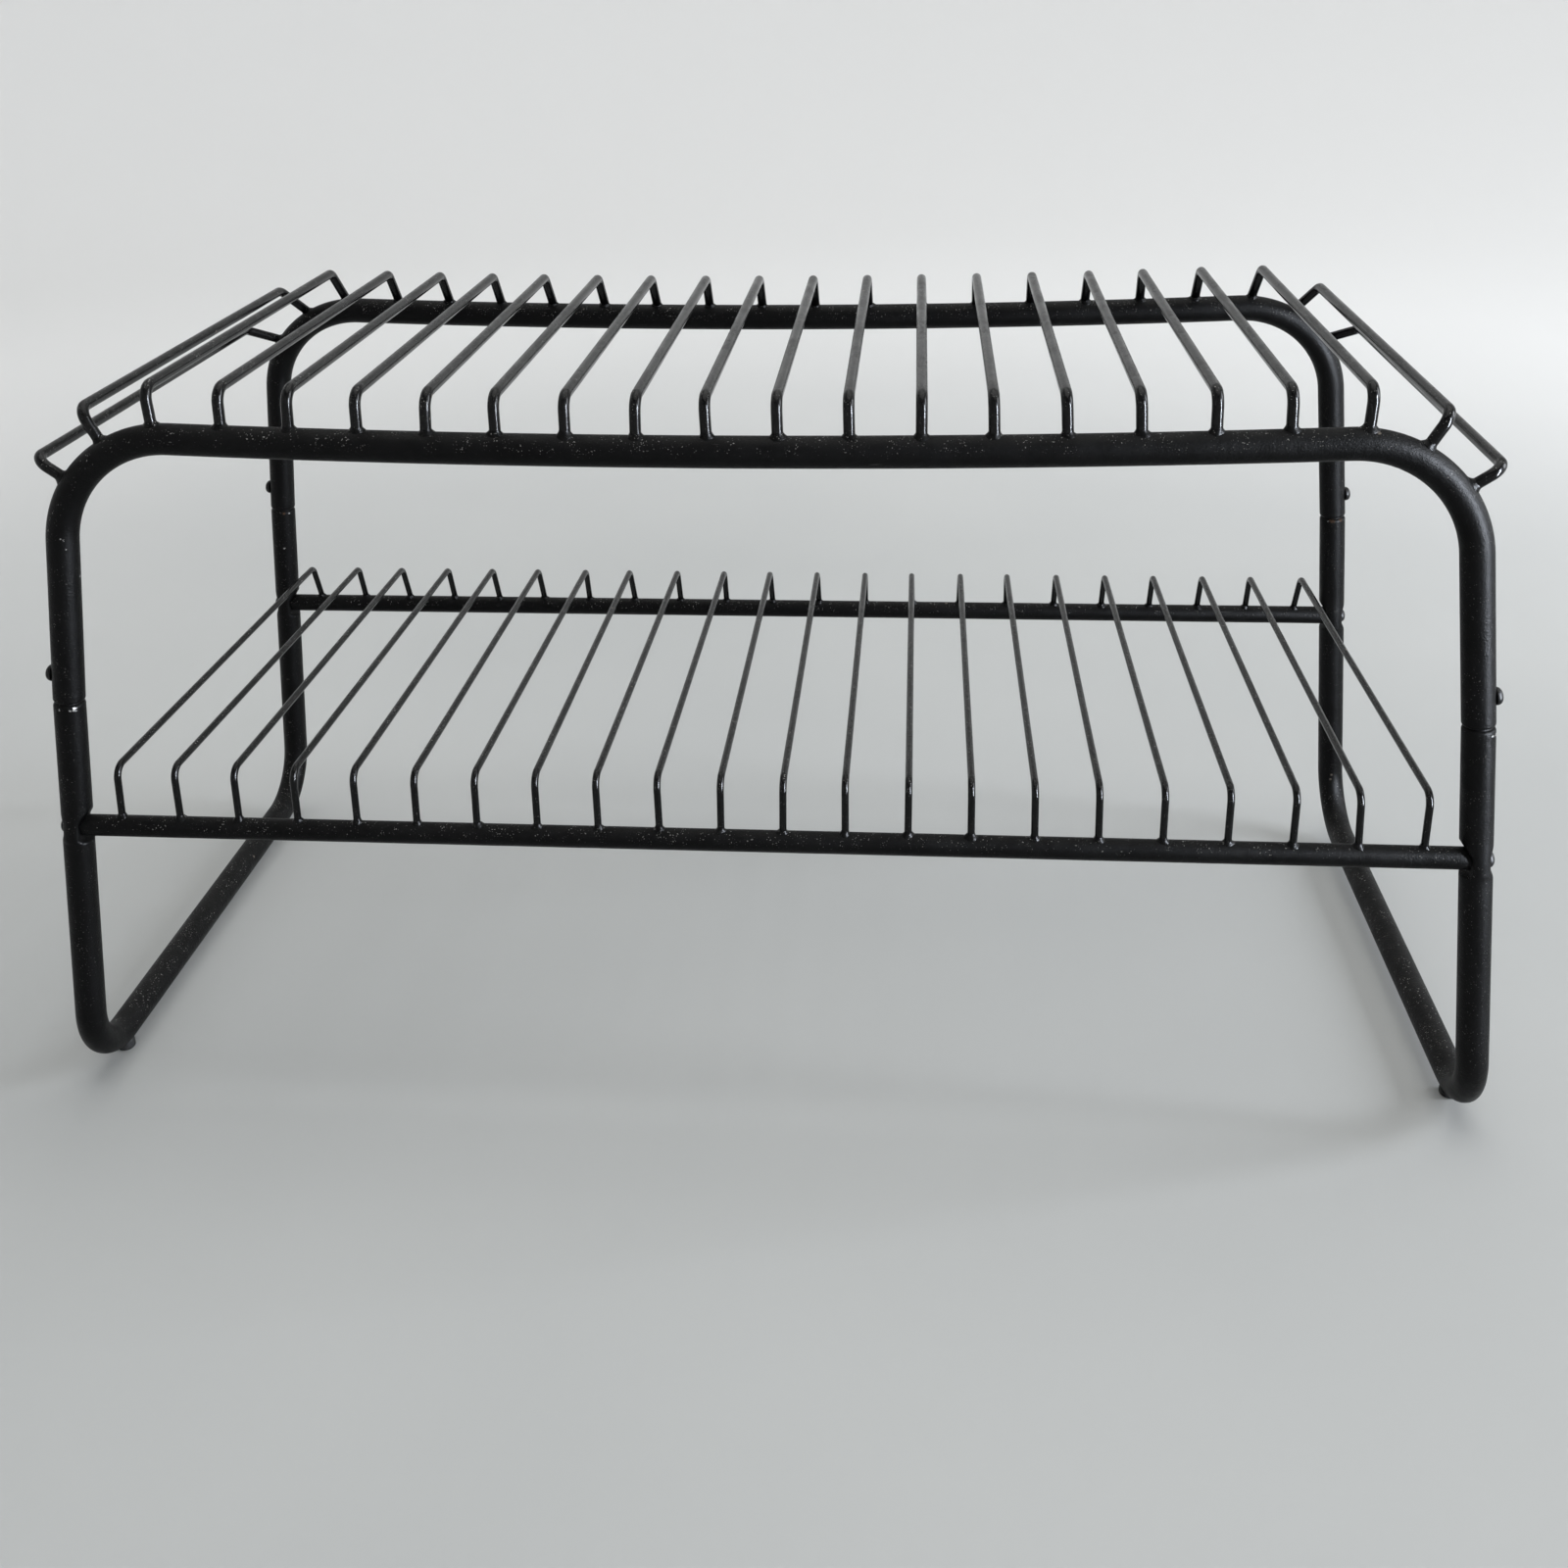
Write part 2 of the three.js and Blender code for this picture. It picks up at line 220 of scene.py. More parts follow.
class Nodes:
    """Short-hand for building a node tree."""

    def __init__(self, name):
        self.material = bpy.data.materials.new(name)
        self.material.use_nodes = True
        self.tree = self.material.node_tree
        self.tree.nodes.clear()
        shader = self.add("ShaderNodeBsdfPrincipled")
        self.shader = shader.inputs
        output = self.add("ShaderNodeOutputMaterial")
        self.link(shader.outputs["BSDF"], output.inputs["Surface"])
        self.coords = self.add("ShaderNodeTexCoord").outputs["Object"]

    def add(self, kind, **settings):
        node = self.tree.nodes.new(kind)
        for key, value in settings.items():
            setattr(node, key, value)
        return node

    def link(self, output, socket):
        self.tree.links.new(output, socket)

    def noise(self, scale, detail=2.0, roughness=0.5, stretch=None):
        node = self.add("ShaderNodeTexNoise")
        node.inputs["Scale"].default_value = scale
        node.inputs["Detail"].default_value = detail
        node.inputs["Roughness"].default_value = roughness
        coords = self.coords
        if stretch is not None:
            mapping = self.add("ShaderNodeMapping")
            mapping.inputs["Scale"].default_value = stretch
            self.link(self.coords, mapping.inputs["Vector"])
            coords = mapping.outputs["Vector"]
        self.link(coords, node.inputs["Vector"])
        return node.outputs["Fac"]

    def cells(self, scale):
        """Distance to the middle of the nearest random cell."""
        node = self.add("ShaderNodeTexVoronoi")
        node.inputs["Scale"].default_value = scale
        self.link(self.coords, node.inputs["Vector"])
        return node.outputs["Distance"]

    def distance_to(self, point):
        node = self.add("ShaderNodeVectorMath", operation="DISTANCE")
        node.inputs[1].default_value = point
        self.link(self.coords, node.inputs[0])
        return node.outputs["Value"]

    def ramp(self, value, low, high, to_low=0.0, to_high=1.0):
        """Smooth step from to_low to to_high, between the values low and high."""
        node = self.add("ShaderNodeMapRange", interpolation_type="SMOOTHSTEP")
        node.inputs["From Min"].default_value = low
        node.inputs["From Max"].default_value = high
        node.inputs["To Min"].default_value = to_low
        node.inputs["To Max"].default_value = to_high
        self.link(value, node.inputs["Value"])
        return node.outputs["Result"]

    def math(self, operation, a, b):
        node = self.add("ShaderNodeMath", operation=operation)
        for socket, value in zip(node.inputs, (a, b)):
            if isinstance(value, (int, float)):
                socket.default_value = value
            else:
                self.link(value, socket)
        return node.outputs["Value"]

    def times(self, product, *factors):
        for factor in factors:
            product = self.math("MULTIPLY", product, factor)
        return product

    def mix(self, share, a, b):
        """Colour a, with colour b over it by share."""
        node = self.add("ShaderNodeMix", data_type="RGBA")
        self.link(share, node.inputs["Factor"])
        for socket, value in ((node.inputs[6], a), (node.inputs[7], b)):
            if isinstance(value, tuple):
                socket.default_value = (*value, 1.0)
            else:
                self.link(value, socket)
        return node.outputs[2]

    def spots(self, places):
        """One mask for a list of ((x, y, z), radius) spots in millimetres, with ragged edges."""
        ragged = self.ramp(self.noise(620, 4, 0.7), 0.3, 0.7)
        mask = None
        for centre, radius in places:
            distance = self.distance_to(tuple(c * MM for c in centre))
            edge = self.math("ADD", distance, self.times(ragged, radius * MM))
            spot = self.ramp(edge, 1.35 * radius * MM, 1.1 * radius * MM)
            mask = spot if mask is None else self.math("MAXIMUM", mask, spot)
        return mask

    def facing_up(self, low, high):
        geometry = self.add("ShaderNodeNewGeometry")
        split = self.add("ShaderNodeSeparateXYZ")
        self.link(geometry.outputs["Normal"], split.inputs["Vector"])
        return self.ramp(split.outputs["Z"], low, high)

    def bump(self, height, strength, distance, below=None):
        node = self.add("ShaderNodeBump")
        node.inputs["Strength"].default_value = strength
        node.inputs["Distance"].default_value = distance
        self.link(height, node.inputs["Height"])
        if below is not None:
            self.link(below, node.inputs["Normal"])
        return node.outputs["Normal"]


def powder_coat(name, dark, light, rough, specular, dust, peel, worn_spots=(), rusty_spots=()):
    """Black powder coat: orange peel, dust on top faces, specks, fine scratches and small chips."""
    n = Nodes(name)
    tone = n.mix(n.ramp(n.noise(14, 4, 0.6), 0.35, 0.65), dark, light)

    # Dust lies on what faces up, in patches and with a fine grain.
    film = n.times(n.facing_up(0.15, 1.0), n.ramp(n.noise(55, 5, 0.65), 0.3, 0.75, 0.25, 1.0))
    grain = n.ramp(n.noise(900, 2), 0.35, 0.75, 0.5, 1.0)
    tone = n.mix(n.times(film, grain, dust), tone, DUST)

    # Pale specks lie in groups.
    specks = n.times(
        n.ramp(n.noise(1100, 1), 0.68, 0.74),
        n.facing_up(-0.3, 0.5),
        n.ramp(n.noise(90, 3), 0.42, 0.58),
    )
    tone = n.mix(n.times(specks, 0.85), tone, SPECK)

    # Short scratches and small chips show where a broad noise lets them through.
    scratch = n.times(
        n.ramp(n.noise(34, 2, 0.5, SCRATCH_STRETCH), 0.735, 0.765),
        n.ramp(n.noise(21, 2), 0.52, 0.62),
    )
    tone = n.mix(n.times(scratch, 0.4), tone, SCRATCH)
    chips = n.times(n.ramp(n.cells(110), 0.16, 0.10), n.ramp(n.noise(16, 2), 0.655, 0.685))
    tone = n.mix(n.times(chips, 0.8), tone, CHIP)
    pits = n.math("ADD", n.times(chips, -1.0), n.times(scratch, -0.4))

    gloss = n.ramp(n.noise(38, 4, 0.6), 0.3, 0.7, rough - 0.05, rough + 0.06)
    gloss = n.math("ADD", gloss, n.times(film, 0.14))

    # Rust and bare steel show at the listed places.
    if rusty_spots:
        rust = n.spots(rusty_spots)
        tone = n.mix(n.times(rust, 0.8), tone, RUST)
        gloss = n.math("ADD", gloss, n.times(rust, 0.25))
    if worn_spots:
        bare = n.spots(worn_spots)
        tone = n.mix(bare, tone, BARE_STEEL)
        gloss = n.math("SUBTRACT", gloss, n.times(bare, 0.1))
        pits = n.math("SUBTRACT", pits, bare)
        n.link(n.times(bare, 0.75), n.shader["Metallic"])

    n.link(tone, n.shader["Base Color"])
    n.link(gloss, n.shader["Roughness"])
    n.shader["Specular IOR Level"].default_value = specular
    normal = n.bump(n.noise(950, 3, 0.55), peel, 0.0003)
    normal = n.bump(n.noise(160, 2), peel * 0.5, 0.0006, normal)
    n.link(n.bump(pits, 0.6, 0.0002, normal), n.shader["Normal"])
    return n.material


def screw_finish():
    """Blackened steel head, rubbed paler in random patches, with a little grain."""
    n = Nodes("screw_black_paint")
    rub = n.ramp(n.noise(420, 4, 0.6), 0.52, 0.68)
    n.link(n.mix(rub, (0.005, 0.005, 0.0055), (0.030, 0.029, 0.028)), n.shader["Base Color"])
    n.link(n.ramp(n.noise(300, 3), 0.3, 0.7, 0.30, 0.48), n.shader["Roughness"])
    n.shader["Metallic"].default_value = 0.2
    n.shader["Specular IOR Level"].default_value = 0.3
    n.link(n.bump(n.noise(1400, 2), 0.2, 0.0002), n.shader["Normal"])
    return n.material


def rubber_finish():
    """Matt black rubber, a little dusty."""
    n = Nodes("foot_rubber_mould")
    dusty = n.ramp(n.noise(260, 5, 0.7), 0.42, 0.72)
    n.link(n.mix(dusty, (0.008, 0.008, 0.008), (0.035, 0.034, 0.032)), n.shader["Base Color"])
    n.link(n.ramp(n.noise(500, 3), 0.3, 0.7, 0.62, 0.82), n.shader["Roughness"])
    n.shader["Specular IOR Level"].default_value = 0.3
    n.link(n.bump(n.noise(1800, 3), 0.35, 0.0003), n.shader["Normal"])
    return n.material


# Where the paint has come off, at the joints, on the legs and on a corner: centre and radius.
WORN_SPOTS = [
    ((-416.0, -185.6, 277.2), 1.7), ((-418.6, -187.2, 276.8), 0.8), ((-424.6, -188.0, 277.8), 0.7),
    ((430.9, -183.2, 276.6), 1.9), ((428.3, -186.3, 277.0), 1.0), ((414.5, -182.0, 277.5), 0.7),
    ((-415.0, 172.5, 277.0), 0.9), ((417.5, 170.8, 278.0), 0.8),
    ((-407.4, -182.7, 387.0), 0.8), ((-408.6, -183.4, 388.2), 0.5), ((-406.9, -182.2, 381.0), 0.5),
    ((-404.8, -170.5, 376.0), 0.8), ((-405.3, -174.2, 361.0), 0.9), ((-405.0, -173.0, 369.0), 0.4),
    ((-422.2, 170.8, 247.0), 0.9), ((-419.0, 171.0, 236.0), 0.5), ((365.0, -175.5, 434.0), 1.5),
    ((436.0, -191.0, 120.0), 0.6), ((-431.5, -192.5, 150.0), 0.5),
]
RUSTY_SPOTS = [
    ((420.5, 169.6, 278.4), 2.6), ((427.0, 171.0, 278.6), 1.6), ((-418.5, 170.3, 278.0), 1.4),
]
BLACK = (0.0013, 0.0013, 0.0015)
WIRE_BLACK = (0.0013, 0.0013, 0.0016)
PALER_BLACK = (0.0028, 0.0028, 0.0030)

FRAME_PAINT = powder_coat("frame_black_paint", BLACK, PALER_BLACK,
                          rough=0.41, specular=0.10, dust=0.06, peel=0.80,
                          worn_spots=WORN_SPOTS, rusty_spots=RUSTY_SPOTS)
WIRE_PAINT = powder_coat("wire_black_paint", WIRE_BLACK, PALER_BLACK,
                         rough=0.18, specular=0.21, dust=0.06, peel=0.15)
WELD_PAINT = powder_coat("weld_black_paint", BLACK, PALER_BLACK,
                         rough=0.28, specular=0.12, dust=0.05, peel=0.60)
SCREW_PAINT = screw_finish()
FOOT_RUBBER = rubber_finish()


def place(obj, node):
    """Registers a piece of the one body. It stands for a CAD node, or for none if node is None."""
    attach(obj, "root")
    if node is not None:
        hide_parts(node)
    return obj


# ---- arches ------------------------------------------------------------------------------------

def bar_height(x):
    return BAR_CORNER[2] - BAR_SAG * (1 - (x / BAR_CORNER[0]) ** 2)


BAR_SLOPE = 2 * BAR_SAG * BAR_BEND_X / BAR_CORNER[0] ** 2
ARCH_LEAN = (LEG_END[1] - BAR_CORNER[1]) / (BAR_CORNER[2] - LEG_END[2])
BEND_START = np.array([BAR_BEND_X, 0.0, bar_height(BAR_BEND_X)])
BEND_CORNER_Z = BEND_START[2] + BAR_SLOPE * (BAR_CORNER[0] - BAR_BEND_X)
BEND_CORNER = np.array([BAR_CORNER[0], 0.0, BEND_CORNER_Z])
LEG_END_XZ = LEG_END * np.array([1.0, 0.0, 1.0])
BEND_HALF = math.acos(unit(BEND_START - BEND_CORNER) @ unit(LEG_END_XZ - BEND_CORNER)) / 2
BEND_R = np.linalg.norm(BEND_START - BEND_CORNER) * math.tan(BEND_HALF)
SLOPE_ANGLE = math.atan(BAR_SLOPE)
BEND_CENTRE = BEND_START + BEND_R * np.array([math.sin(SLOPE_ANGLE), 0.0, -math.cos(SLOPE_ANGLE)])

# The rolled rim at the end of an arch leg.
RIM_ABOVE_JOINT = 0.5
RIM_LENGTH = 2.0
RIM_LIP = 1.9
RIM_STEPS = 6
RIM_BORE_R = BORE_R - 0.6
RIM_INNER_EDGE = 0.4  # how far the inner edge lies above the rim's end
RIM_DEPTH = 10.0


def arch_y(z):
    return BAR_CORNER[1] + ARCH_LEAN * (BAR_CORNER[2] - z)


def leg_direction(side_x, side_y):
    """Down the arch leg."""
    return unit(at(LEG_END, side_x, side_y) - at(BAR_CORNER, side_x, side_y))


def rolled_rim(tip, back):
    """Rings that roll the end of a leg over: rounded lip, end face and a wall back inside it."""
    angle = 0.5 * math.pi * np.arange(RIM_STEPS + 1) / RIM_STEPS
    setback = np.r_[RIM_LIP * (1 - np.sin(angle)), RIM_INNER_EDGE, RIM_DEPTH]
    radii = np.r_[TUBE_R - RIM_LIP * (1 - np.cos(angle)), RIM_BORE_R, RIM_BORE_R]
    return tip + setback[:, None] * back, radii


def arch_mesh(side_y):
    curve = round_corner(BEND_START, BEND_CORNER, LEG_END_XZ, BEND_R, ARCH_BEND_STEPS)
    down = unit(LEG_END_XZ - BEND_CORNER)
    tip = LEG_END_XZ - RIM_ABOVE_JOINT * down
    leg = line(curve[-1], tip - RIM_LENGTH * down, ARCH_LEG_SPACING)
    x = np.linspace(-BAR_BEND_X, BAR_BEND_X, BAR_RINGS)[1:-1]
    bar = np.stack([x, np.zeros_like(x), bar_height(x)], axis=1)
    rim_points, rim_radii = rolled_rim(tip, unit(leg[-1] - tip))
    right = np.vstack([curve, leg[1:], rim_points])
    right_radii = np.r_[np.full(len(curve) + len(leg) - 1, TUBE_R), rim_radii]
    points = np.vstack([at(right, -1.0, 1.0)[::-1], bar, right])
    radii = np.r_[right_radii[::-1], np.full(len(bar), TUBE_R), right_radii]

    # The rims go back along the path, so their rings keep the direction of the leg.
    tangent = np.gradient(points, axis=0)
    count = len(rim_points) + 1
    tangent[-count:] = down
    tangent[:count] = down * np.array([1.0, 1.0, -1.0])

    # Up to here the arch is upright, in the plane Y = 0. Now it goes to its side and leans.
    points[:, 1] = side_y * arch_y(points[:, 2])
    tangent[:, 1] = -side_y * ARCH_LEAN * tangent[:, 2]
    return tube(points, [0.0, 1.0, side_y * ARCH_LEAN], ARCH_SIDES, radii, units(tangent))


for name, side_y in (("front_arch", -1), ("back_arch", 1)):
    verts, faces = arch_mesh(side_y)
    place(new_object(name + "_tube", verts, faces, FRAME_PAINT), name)

# ---- side frames -------------------------------------------------------------------------------

# Ring distances from the joint, up the neck and down the plain leg under the shoulder.
NECK_RINGS = ((22.0, NECK_R - 0.4), (2.0, NECK_R - 0.4), (0.4, NECK_R - 0.3))
SHOULDER_R = 7.7
SHOULDER_START = 0.4
SHOULDER_DROP = 2.0
SHOULDER_STEPS = 7
BELOW_SHOULDER = (3.2, 4.4, 5.6)
# Heights of the rings further down, close together at the dimples.
LEG_HEIGHTS = np.r_[np.arange(272, 222, -7.0), np.arange(221, 176, -1.0), np.arange(175, 62, -8.0)]
DIMPLE_FLAT = 0.4  # by how much the middle of a dimple stays above its depth
DIMPLE_EDGE = 1.6  # softness of its edge
DIMPLE_SPREAD = 0.05  # how much wider the leg gets at the inner dimple


def leg_axis(z, side_x, side_y):
    share = (LEG_END[2] - z) / (LEG_END[2] - FLOOR_CORNER[2])
    return at(LEG_END, side_x, side_y) * (1 - share) + at(FLOOR_CORNER, side_x, side_y) * share


def smooth_step(value, low, high):
    x = np.clip((value - low) / (high - low), 0.0, 1.0)
    return x * x * (3 - 2 * x)


def soft_min(a, b, k):
    return 0.5 * (a + b - np.sqrt((a - b) ** 2 + k * k))


def pressed(u, share, depth):
    """Presses the +u side of the rings in, each by its own share (0 to 1) of a dimple's depth."""
    return soft_min(u, TUBE_R - share * depth + DIMPLE_FLAT * share, DIMPLE_EDGE * share + 1e-6)


def upright(side_x, side_y):
    """Neck, rounded shoulder and leg, as ring centres and radii from the top down."""
    top, floor = at(LEG_END, side_x, side_y), at(FLOOR_CORNER, side_x, side_y)
    up, down = -leg_direction(side_x, side_y), unit(floor - top)
    points = [top + up * d for d, _ in NECK_RINGS]
    radii = [r for _, r in NECK_RINGS]
    for i in range(SHOULDER_STEPS + 1):
        a = 0.5 * math.pi * i / SHOULDER_STEPS
        points.append(top + down * (SHOULDER_START + SHOULDER_DROP * (1 - math.cos(a))))
        radii.append(SHOULDER_R + (TUBE_R - SHOULDER_R) * math.sin(a))
    points += [top + down * d for d in BELOW_SHOULDER]
    points += [leg_axis(z, side_x, side_y) for z in LEG_HEIGHTS]
    radii += [TUBE_R] * (len(points) - len(radii))
    return np.array(points), np.array(radii)


def side_frame_mesh(side_x):
    front_top, back_top = (at(LEG_END, side_x, side_y) for side_y in (-1, 1))
    front_floor, back_floor = (at(FLOOR_CORNER, side_x, side_y) for side_y in (-1, 1))
    front, front_radii = upright(side_x, -1)
    back, back_radii = upright(side_x, 1)
    front_bend = round_corner(front_top, front_floor, back_floor, RUNNER_BEND_R, RUNNER_BEND_STEPS)
    back_bend = round_corner(front_floor, back_floor, back_top, RUNNER_BEND_R, RUNNER_BEND_STEPS)
    runner = line(front_bend[-1], back_bend[0], RUNNER_SPACING)[1:-1]
    middle = np.vstack([front_bend, runner, back_bend])
    points = np.vstack([front, middle, back[::-1]])
    radii = np.r_[front_radii, np.full(len(middle), TUBE_R), back_radii[::-1]]

    # The first axis of every ring points to the middle of the rack, where the inner dimples are.
    tangent = tangents(points)
    inward = np.array([-side_x, 0.0, 0.0])
    across = units(inward - tangent * (tangent @ inward)[:, None])
    beside = np.cross(tangent, across)
    u, v = circle(radii, FRAME_SIDES)

    # The inner dimple stops short under the rail, the outer one fades out both ways.
    height = points[:, 2] - RAIL_Z
    inner = np.minimum(smooth_step(14 - height, 0, 11), smooth_step(height + 10, 0, 2.4))[:, None]
    outer = np.minimum(smooth_step(13 - height, 0, 11), smooth_step(height + 13, 0, 10))[:, None]
    u = pressed(u, inner, INNER_DIMPLE)
    u = -pressed(-u, outer, OUTER_DIMPLE)
    v = v * (1 + DIMPLE_SPREAD * inner)
    return swept(points, u, v, across, beside)


for name, side_x in (("left_side_frame", -1), ("right_side_frame", 1)):
    verts, faces = side_frame_mesh(side_x)
    place(new_object(name + "_tube", verts, faces, FRAME_PAINT), name)

# ---- rails -------------------------------------------------------------------------------------

RAIL_Y = leg_axis(RAIL_Z, 1, 1)[1]
RAIL_END_X = leg_axis(RAIL_Z, 1, 1)[0] - (TUBE_R - INNER_DIMPLE) + 0.6  # a little into the dimple
RAIL_EDGE = ((0.0, 1.0), (0.15, 0.45), (0.5, 0.12), (1.1, 0.0))  # from the end, below the radius
RAIL_PLAIN = 8.0  # from the end to the first of the even rings


def rail_mesh(side_y):
    end_x = np.array([-RAIL_END_X + along for along, _ in RAIL_EDGE])
    end_r = [RAIL_R - below for _, below in RAIL_EDGE]
    middle = np.linspace(-RAIL_END_X + RAIL_PLAIN, RAIL_END_X - RAIL_PLAIN, RAIL_RINGS)
    x = np.r_[end_x, middle, -end_x[::-1]]
    radii = np.r_[end_r, np.full(len(middle), RAIL_R), end_r[::-1]]
    points = np.stack([x, np.full_like(x, side_y * RAIL_Y), np.full_like(x, RAIL_Z)], axis=1)
    return tube(points, [0, 1, 0], RAIL_SIDES, radii)


for name, side_y in (("front_rail", -1), ("back_rail", 1)):
    verts, faces = rail_mesh(side_y)
    place(new_object(name + "_tube", verts, faces, FRAME_PAINT), name)

# ---- wires and their welds ---------------------------------------------------------------------

WELD_REACH = (1.3, 2.2)  # least and most, along the bar from the wire
WELD_CLIMB = (2.0, 3.0)  # least and most, up the wire
WIRE_SPREAD = 0.45  # standard deviation of a top corner's shift along the bar
WIRE_SUNK = 0.8  # how far a wire's end goes into the bar
WIRE_SEED = 1000
LOWER_SEED = 50


def weld_bead(foot, up, bar_axis, leg, wire_r, bar_r, seed):
    """Uneven fillet of weld round a wire's foot, from the round bar under it up the wire's leg."""
    local = np.random.default_rng(seed)
    phase = local.uniform(0, 2 * np.pi, 6)
    reach, climb = local.uniform(*WELD_REACH), local.uniform(*WELD_CLIMB)
    across = np.cross(up, bar_axis)
    verts = []
    for i in range(WELD_ROWS):
        t = i / (WELD_ROWS - 1)
        for j in range(WELD_SIDES):
            a = 2 * np.pi * j / WELD_SIDES
            lumps = 1 + 0.34 * math.sin(a + phase[0]) + 0.16 * math.sin(2 * a + phase[1])
            lumps += 0.09 * math.sin(3 * a + 3.0 * t + phase[2])
            lumps += 0.06 * math.sin(5 * a - 4.0 * t + phase[3])
            waves = 1 + 0.22 * math.sin(a + phase[4]) + 0.08 * math.sin(4 * a + phase[5])
            r = wire_r * 0.985 + reach * lumps * (1 - t) ** 2.0
            height = climb * t ** 1.1 * waves
            x, y = r * math.cos(a), r * math.sin(a)
            drop = bar_r - math.sqrt(max(bar_r ** 2 - y * y, 0.0))
            sink = drop * (1 - t) ** 1.5 + 0.35 * (1 - t) ** 6
            verts.append(foot + bar_axis * x + across * y + leg * height - up * sink)
    return np.array(verts), capped_faces(WELD_ROWS, WELD_SIDES)


def add_wire(name, centre, foot_y, up, wire, bar_r, rise, seed, welds):
    """A bent wire from front bar to back bar. Its two welds go on the lists for the two bars."""
    local = np.random.default_rng(WIRE_SEED + seed)
    bar_axis = np.cross([0.0, 1.0, 0.0], up)
    feet = [centre + up * bar_r + np.array([0.0, side * foot_y, 0.0]) for side in (-1, 1)]
    tops = [feet[0] + up * wire["front_rise"] * rise, feet[1] + up * wire["back_rise"] * rise]
    tops[1][1] -= wire["back_lean"]
    # Bent wires are never quite alike: a small shift of each top corner.
    for top in tops:
        top += bar_axis * local.normal(0, WIRE_SPREAD)
    legs = [unit(top - foot) for top, foot in zip(tops, feet)]
    start, end = (foot - leg * WIRE_SUNK for foot, leg in zip(feet, legs))
    first = round_corner(start, tops[0], tops[1], wire["bend"], WIRE_BEND_STEPS)
    second = round_corner(tops[0], tops[1], end, wire["bend"], WIRE_BEND_STEPS)
    front_leg = line(start, first[0], WIRE_LEG_SPACING)[:-1]
    run = line(first[-1], second[0], WIRE_RUN_SPACING)[1:-1]
    back_leg = line(second[-1], end, WIRE_LEG_SPACING)[1:]
    points = np.vstack([front_leg, first, run, second, back_leg])
    verts, faces = tube(points, bar_axis, WIRE_SIDES, wire["radius"])
    place(new_object(name + "_bent", verts, faces, WIRE_PAINT), name)
    for i, (foot, leg) in enumerate(zip(feet, legs)):
        welds[i].append(weld_bead(foot, up, bar_axis, leg, wire["radius"], bar_r, 2 * seed + i))


def add_welds(kind, welds):
    """One object for all the weld beads of the front arch or rail, and one for the back."""
    for end_name, beads in zip(("front", "back"), welds):
        obj = new_object(f"{end_name}_{kind}_welds", *merged(beads), WELD_PAINT)
        place(obj, None)


def bar_foot(x):
    """Centre of the bar under a wire, and the direction in which the wire stands."""
    up = unit([-2 * BAR_SAG * x / BAR_CORNER[0] ** 2, 0.0, 1.0])
    return np.array([x, 0.0, bar_height(x)]), up


def bend_foot(degrees, side_x):
    """The same on a corner bend."""
    a = math.radians(degrees)
    up = np.array([side_x * math.sin(a), 0.0, math.cos(a)])
    return at(BEND_CENTRE, side_x, 1.0) + up * BEND_R, up


edge_x = UPPER_WIRE["pitch"] * (UPPER_STRAIGHT_COUNT - 1) / 2
edge_angle = math.degrees(math.asin((edge_x - BEND_CENTRE[0]) / BEND_R))
upper_feet = [(*bend_foot(degrees, -1), rise) for degrees, rise in UPPER_BEND_WIRES[::-1]]
for i in range(UPPER_STRAIGHT_COUNT):
    x = i * UPPER_WIRE["pitch"] - edge_x
    on_bend = abs(x) > BEND_CENTRE[0]
    upper_feet.append((*(bend_foot(edge_angle, np.sign(x)) if on_bend else bar_foot(x)), 1.0))
upper_feet += [(*bend_foot(degrees, 1), rise) for degrees, rise in UPPER_BEND_WIRES]

arch_welds = ([], [])
for i, (centre, up, rise) in enumerate(upper_feet):
    add_wire(f"upper_wire_{i + 1:02d}", centre, arch_y(centre[2]), up,
             UPPER_WIRE, TUBE_R, rise, i, arch_welds)
add_welds("arch", arch_welds)

rail_welds = ([], [])
for i in range(LOWER_COUNT):
    centre = np.array([(i - (LOWER_COUNT - 1) / 2) * LOWER_WIRE["pitch"], 0.0, RAIL_Z])
    add_wire(f"lower_wire_{i + 1:02d}", centre, RAIL_Y, np.array([0.0, 0.0, 1.0]),
             LOWER_WIRE, RAIL_R, 1.0, LOWER_SEED + i, rail_welds)
add_welds("rail", rail_welds)

# ---- screws ------------------------------------------------------------------------------------

SHANK_R = 1.9
SHANK_LENGTH = 4.0
HEAD_EDGE_H = 0.8  # where the dome starts
DOME_STEPS = 10
RECESS_LENGTH = 2.6
RECESS_WIDTH = 0.55
RECESS_ENDS = ((-2.2, 0.55), (1.0, 1.25))  # height from the top of the head, size there
SHARP_ANGLE = math.radians(42)
ON_LEG_SUNK = 0.2
IN_DIMPLE_SUNK = 0.7
BOX_QUADS = [(3, 2, 1, 0), (4, 5, 6, 7), (0, 1, 5, 4), (1, 2, 6, 5), (2, 3, 7, 6), (3, 0, 4, 7)]


def recess_cutter(turn):
    """Tapered block that cuts one of the two slots of the cross."""
    box = []
    for height, grow in RECESS_ENDS:
        for sx, sy in ((-1, -1), (1, -1), (1, 1), (-1, 1)):
            x, y = sx * RECESS_LENGTH * grow, sy * RECESS_WIDTH * (0.8 + 0.25 * grow)
            box.append([x * math.cos(turn) - y * math.sin(turn),
                        x * math.sin(turn) + y * math.cos(turn),
                        SCREW_HEAD_H + height])
    return new_object("cutter", box, BOX_QUADS, SCREW_PAINT, smooth=False)


